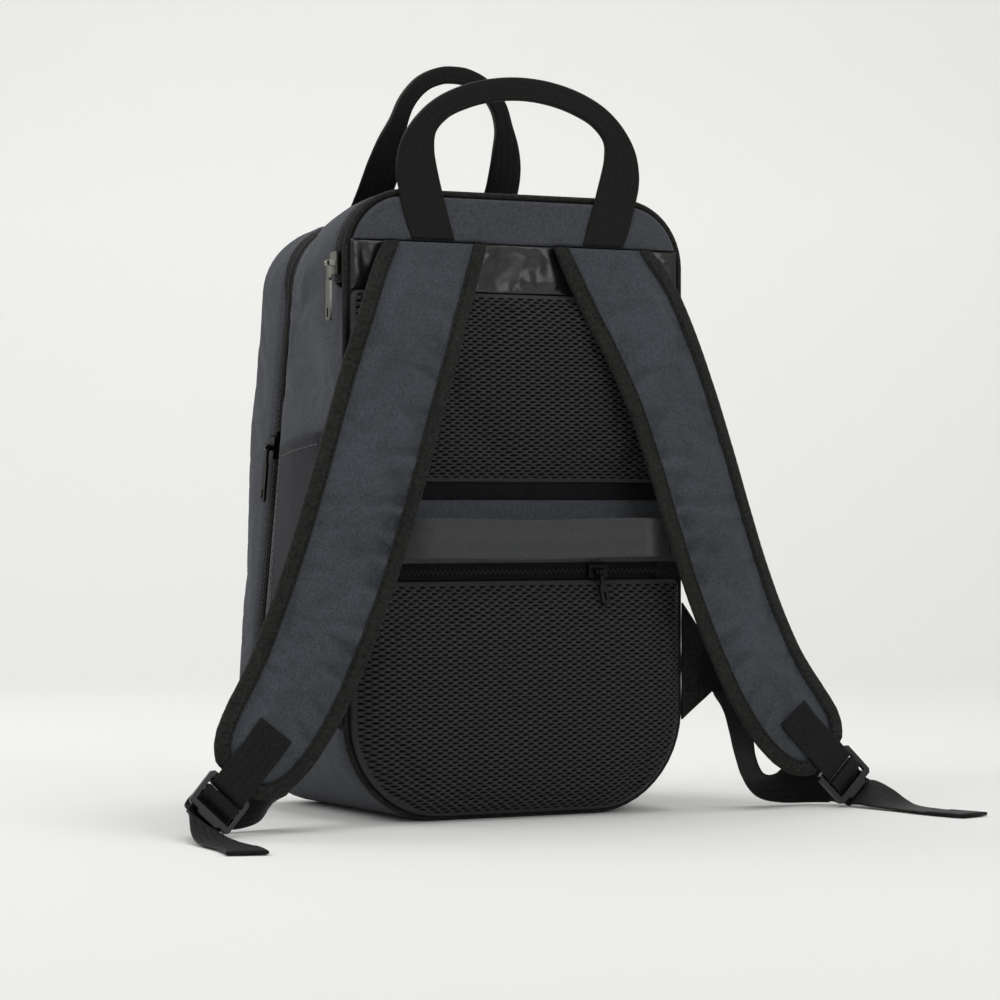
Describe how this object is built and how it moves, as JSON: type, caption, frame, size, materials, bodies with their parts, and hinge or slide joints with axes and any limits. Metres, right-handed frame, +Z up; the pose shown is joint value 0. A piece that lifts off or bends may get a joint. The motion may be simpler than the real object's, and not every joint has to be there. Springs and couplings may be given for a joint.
{
  "type": "cabin backpack",
  "caption": "Charcoal cloth cabin backpack with padded mesh back, bound shoulder straps, luggage band, webbing grab handles, zipped compartments and side pocket.",
  "frame": {"origin": "middle of the flat base the bag stands on", "axes": "+Z up, -Y out of the padded back panel, +Y out of the front compartment, +X to the right when facing the back panel"},
  "size_m": [0.534, 0.3323, 0.4916],
  "materials": {
    "charcoal_cloth": "matte woven",
    "pocket_cloth": "matte woven",
    "black_cloth": "matte woven",
    "satin_cloth": "smooth satin",
    "mesh_cloth": "open spacer mesh",
    "black_webbing": "ribbed webbing",
    "black_plastic": "satin moulded",
    "gunmetal": "dark plated"
  },
  "bodies": {
    "bag": {"main_gusset": "charcoal_cloth", "front_compartment": "charcoal_cloth", "main_zip_tape": "black_cloth", "front_zip_tape": "black_cloth", "side_zip_tape": "black_cloth", "back_panel": "black_cloth", "back_piping": "black_cloth", "yoke_panel": "charcoal_cloth", "satin_band": "satin_cloth", "upper_back_pad": "mesh_cloth", "pad_binding": "black_webbing", "middle_panel": "charcoal_cloth", "back_zip_tape": "black_cloth", "lower_back_pad": "mesh_cloth", "side_pocket": "pocket_cloth", "luggage_band": "black_webbing", "back_handle": "black_webbing", "front_handle": "black_webbing", "strap_pad_left": "charcoal_cloth", "strap_binding_left": "black_cloth", "strap_patch_left": "black_webbing", "ladder_lock_left": "black_plastic", "side_wing_left": "black_cloth", "adjuster_web_left": "black_webbing", "strap_pad_right": "charcoal_cloth", "strap_binding_right": "black_cloth", "strap_patch_right": "black_webbing", "ladder_lock_right": "black_plastic", "side_wing_right": "black_cloth", "adjuster_web_right": "black_webbing", "main_zip_slider": "gunmetal", "side_zip_slider": "gunmetal", "back_zip_slider": "gunmetal"},
    "main_puller": {"main_zip_puller": "gunmetal"},
    "side_puller": {"side_zip_puller": "gunmetal"},
    "back_puller": {"back_zip_puller": "gunmetal"}
  },
  "joints": [
    {"name": "main_puller_hinge", "type": "hinge", "parent": "bag", "child": "main_puller", "pos_m": [-0.1292, -0.076, 0.352], "axis": [0, 1, 0], "range_deg": [0, 150]},
    {"name": "side_puller_hinge", "type": "hinge", "parent": "bag", "child": "side_puller", "pos_m": [-0.1249, 0.0253, 0.238], "axis": [0, 0.9791, 0.2034], "range_deg": [0, 150]},
    {"name": "back_puller_hinge", "type": "hinge", "parent": "bag", "child": "back_puller", "pos_m": [0.057, -0.0944, 0.1575], "axis": [-1, 0, 0], "range_deg": [0, 72]}
  ]
}
